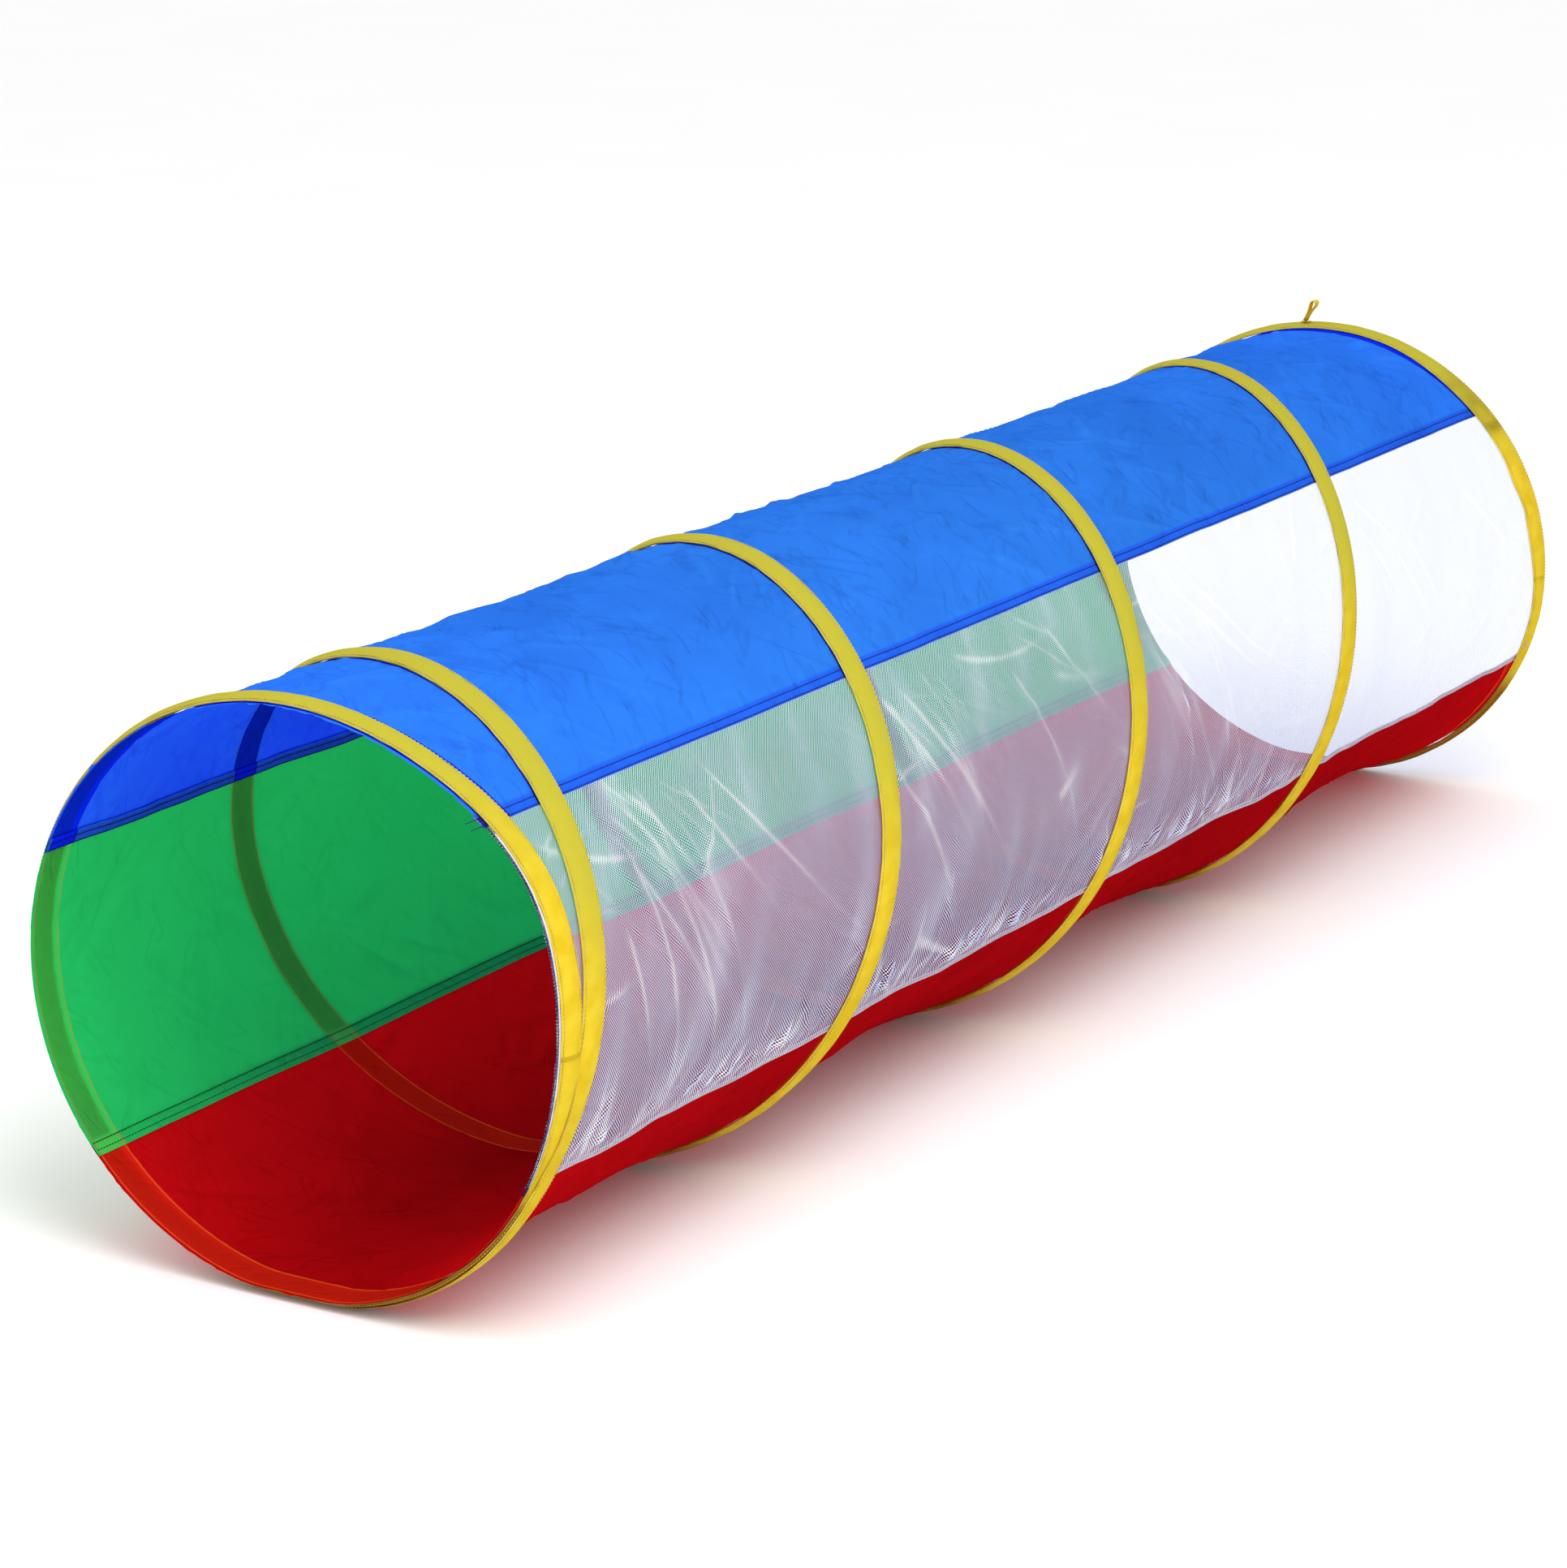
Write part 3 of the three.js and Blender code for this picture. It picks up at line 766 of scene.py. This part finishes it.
ring_angle = np.arange(0, 360, 1.0)
coil_angle = np.arange(coil_first, coil_last, 1.0)
slant = 1 / math.cos(math.atan((far_x - near_x) / coil_turns / (2 * math.pi * cloth_radius)))
near_edges = off_angle(ring_angle, 0.0)
near_halves = near_half * (1 + 0.14 * np.exp(-(((near_edges - 12) / 40) ** 2)))
near_middle, coil_middle = ring_x(ring_angle) + near_halves - near_half, coil_x(coil_angle)
drawn_narrow = smooth(near_edges, 50, 76) * (1 - smooth(near_edges, 120, 150))
far_edge = smooth(near_edges, -12, 12) * (1 - 0.8 * drawn_narrow)
far_edge = 0.0045 + 0.0125 * np.maximum(far_edge, smooth(-near_edges, 85, 110))
far_edge += 0.003 * np.exp(-(((near_edges - 25) / 4) ** 2))
far_edge -= 0.002 * np.exp(-(((near_edges - 17) / 3) ** 2))
far_halves, far_middle = (far_edge + far_half) / 2, far_x + (far_half - far_edge) / 2
run_in = smooth(coil_angle, coil_first, -20) * smooth(coil_last - coil_angle, 0, 50)
coil_halves = 0.014 * (0.62 + 0.38 * run_in) * (1 + (slant - 1) * run_in)
mouth_seed, far_seed, coil_seed = 31.2, 43.7, 57.1
near_way, far_way = (ring_angle, near_middle, near_halves), (ring_angle, far_middle, far_halves)
coil_way = (coil_angle, coil_middle, coil_halves)
mouth_tape = tape("mouth_tape_yellow", *near_way, ring_tape_height, mouth_seed, ring=True)
far_tape = tape("far_tape_yellow", *far_way, ring_tape_height, far_seed, ring=True)
coil_tape = tape("coil_tape_yellow", *coil_way, coil_tape_height, coil_seed, over=True)
pale_thread = thread("pale_thread", light(226, 210, 104), light(190, 166, 48))


def tape_thread(name, way, height, seed, ring=False, over=False):
    """The stitches along both edges of a tape."""
    if ring:
        way = [np.append(part, first) for part, first in zip(way, (360.0, way[1][0], way[2][0]))]
    rows = [tape_row(*way, side, height, seed, over) for side in (-1, 1)]
    return sewn(name, rows, pale_thread)


mouth_thread = tape_thread("mouth_tape_thread", near_way, ring_tape_height, mouth_seed, ring=True)
far_thread = tape_thread("far_tape_thread", far_way, ring_tape_height, far_seed, ring=True)
coil_thread = tape_thread("coil_tape_thread", coil_way, coil_tape_height, coil_seed, over=True)
for piece, node, body, width, turns, sewing in (
    (mouth_tape, "mouth_sleeve", "near_end", 0.026, 1.0, mouth_thread),
    (coil_tape, "coil_sleeve", None, 0.031, (coil_last - coil_first) / 360, coil_thread),
    (far_tape, "far_sleeve", "far_end", 0.036, 1.0, far_thread),
):
    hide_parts(node)
    for part in (piece, sewing):
        if body:
            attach(part, body)
        else:
            folds_up(part)
    length = turns * 2 * math.pi * (cloth_radius + 0.003) * (1.03 if body is None else 1.0)

# ---------------------------------------------------------------------------------------------------------
# The mouth's edge on the see-through side. The mesh is turned back in a narrow hem in front of the tape,
# and its raw edge is whipped with navy thread.
hem_mesh = Recipe("hem_mesh", Roughness=0.6, Sheen_Weight=0.2)
along, across = hem_mesh.along_across()
dots = along.wave(0.0022) * across.wave(0.0022)
hem_mesh.feed(Base_Color=dots.rise(0.1, 0.4).tint(light(240, 242, 250), light(120, 124, 140)))
hem_mesh.bump(dots, -0.0003)
angle = np.arange(-26.0, 43.0, 1.0)[:, None]
swing = (np.arange(12) * math.pi / 6)[None, :]
hem_width = 0.0018 + 0.0005 * uneven(near_x, angle, 0.02, 8.1)
x = ring_x(angle) - near_half - 0.0014 + hem_width * np.cos(swing)
stand = 0.0004 + 0.0007 * np.sin(swing) + 0.0003 * uneven(x, angle, 0.009, 2.2)
hem_cut = (np.radians(angle) * cloth_radius, hem_width * np.cos(swing))
hem = skin("mouth_hem_mesh", tunnel_point(x, angle, stand), hem_mesh, hem_cut, tube=True, ends=True)
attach(hem, "near_end")


def whipped(low, high, x, reach, lift):
    """Thread wound over an edge, in short slanting stitches."""

    def row(share):
        a = low + (high - low) * share
        zigzag = abs(np.mod(share * (high - low) * 1.9, 1.0) - 0.5) * 2
        place = ring_x(a) + x + reach * (zigzag - 0.5)
        return tunnel_point(place, a, lift + 0 * place), outward(a)

    return row


edge_x = -near_half - 0.0031
edging = sewn(
    "mouth_edge_thread",
    [whipped(-28.0, 46.0, edge_x, 0.0011, lift) for lift in (0.0004, 0.0011, -0.0004)],
    navy_thread,
    thick=0.00035,
    pitch=0.0016,
)
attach(edging, "near_end")
mesh_cut = math.radians(seam_blue_mesh + 360 - seam_red_mesh) * cloth_radius + 0.012

# ---------------------------------------------------------------------------------------------------------
# The stitched patches: close zigzag stitching in yellow thread, right through the tapes. One holds the tape
# loop down on the far ring, and the other holds the mouth's tape.
yellow_thread = thread("yellow_thread", light(232, 198, 40), light(168, 128, 10))
patch_rows, patch_width = 9, 0.0086


def patch(name, node, body):
    low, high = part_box(node)
    middle = (low + high) / 2
    up, out = (middle.z - ring_middle) / cloth_half_height, -middle.y / cloth_half_width
    angle_at = math.degrees(math.atan2(up, out))
    rows = []
    for k in range(patch_rows):
        across = (k / (patch_rows - 1) - 0.5) * patch_width

        def row(share, across=across, k=k):
            x = middle.x + (share - 0.5) * (high.x - low.x) * (1 if k % 2 else -1)
            a = angle_at + np.degrees((across + 0.0005 * (share - 0.5)) / cloth_radius)
            return tunnel_point(x, a, tape_stand + 0.0004 + 0 * x), outward(a)

        rows.append(row)
    made = sewn(name, rows, yellow_thread, thick=0.00055, pitch=0.003)
    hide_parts(node)
    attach(made, body)
    return made


patch("mouth_patch_stitches", "mouth_tack", "near_end")
patch("far_patch_stitches", "far_tack", "far_end")

# ---------------------------------------------------------------------------------------------------------
# The tape loop on the far ring: a short strip of the yellow tape, folded in two with its ends sewn together
# under the stitched patch. It stands up and leans over, and bends where it is sewn.
loop_root = Vector(next(j for j in frame["joints"] if j["name"] == "loop_bend")["pos_m"])
loop_lean, loop_height, loop_width = math.radians(27), 0.0235, 0.0095
up = np.array([0, -math.sin(loop_lean), math.cos(loop_lean)])
aside = np.array([0, math.cos(loop_lean), math.sin(loop_lean)])
share = np.linspace(0, 1, 41)
climb = loop_height * np.sin(math.pi * share) ** 0.62
bulge = 0.0021 * np.sin(2 * math.pi * share) * smooth(climb / loop_height, 0.2, 0.9)
apart = 0.00075 * np.sign(0.5 - share) + bulge
strip_half = np.linspace(-1, 1, 7)
strip = []
for sign, order in ((1, strip_half), (-1, strip_half[::-1])):
    for s in order:
        middle = np.array(loop_root)[None, :] + climb[:, None] * up + apart[:, None] * aside
        ahead = np.gradient(middle, axis=0)
        ahead /= np.linalg.norm(ahead, axis=-1, keepdims=True)
        out = np.cross(ahead, np.array([1.0, 0, 0]))
        thick = 0.00042 * (1 - 0.45 * abs(s) ** 4) * sign
        strip.append(middle + out * thick + np.array([s * loop_width / 2, 0, 0]))
strip = np.stack(strip, axis=1)
strip_across = np.concatenate([strip_half, strip_half[::-1]])[None, :]
strip_cut = (share[:, None] * 2 * loop_height, strip_across * loop_width / 2)
loop_marks = {"edge": abs(strip_across) * 0.93, "shade": -0.4, "ferrule_shade": 0.0}
loop = skin("far_loop_strip", strip, yellow_tape, strip_cut, loop_marks, tube=True, ends=True)
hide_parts("far_loop")
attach(loop, "hang_loop")

# ---------------------------------------------------------------------------------------------------------
# The studio: a pale floor that runs on out of sight, a soft white surround, and one large lamp over the
# tunnel's see-through side.
floor_finish = Recipe("pale_floor", Roughness=0.9, Specular_IOR_Level=0.1)
floor_where = floor_finish.node("ShaderNodeTexCoord", out=3)
floor_noise = floor_finish.node("ShaderNodeTexNoise", {}, {"Vector": floor_where, "Scale": 3.0})
floor_finish.feed(Base_Color=floor_noise.tint(light(247, 247, 248), light(250, 250, 250)))
floor_rows = [[[x, y, -0.001] for x in (-30.0, 30.0)] for y in (-30.0, 30.0)]
floor = skin("floor", np.array(floor_rows), floor_finish)

world = bpy.data.worlds.new("surround")
world.use_nodes = True
world.node_tree.nodes["Background"].inputs["Color"].default_value = (1.0, 1.0, 1.0, 1)
world.node_tree.nodes["Background"].inputs["Strength"].default_value = 1.02
bpy.context.scene.world = world

lamp = bpy.data.lights.new("overhead_lamp", "AREA")
lamp.energy, lamp.size, lamp.color = 75.0, 2.2, (1.0, 0.99, 0.97)
lamp_stand = bpy.data.objects.new("overhead_lamp", lamp)
lamp_stand.location = (-1.6, -1.8, 2.9)
lamp_stand.rotation_mode = "QUATERNION"
lamp_stand.rotation_quaternion = (Vector((0, 0, 0.2)) - lamp_stand.location).to_track_quat("-Z", "Y")
bpy.context.collection.objects.link(lamp_stand)

lens = bpy.data.cameras.new("camera")
lens.lens, lens.sensor_width, lens.clip_end = 113.8, 36.0, 200.0
camera = bpy.data.objects.new("camera", lens)
azimuth, elevation = math.radians(-58.8), math.radians(15.5)
back = Vector(
    (math.sin(azimuth) * math.cos(elevation), -math.cos(azimuth) * math.cos(elevation), math.sin(elevation))
)
camera.location = (-3.7074, -2.1288, 1.3753)
camera.rotation_mode = "QUATERNION"
camera.rotation_quaternion = (-back).to_track_quat("-Z", "Y")
bpy.context.collection.objects.link(camera)
bpy.context.scene.camera = camera
bpy.context.scene.view_settings.view_transform = "Standard"
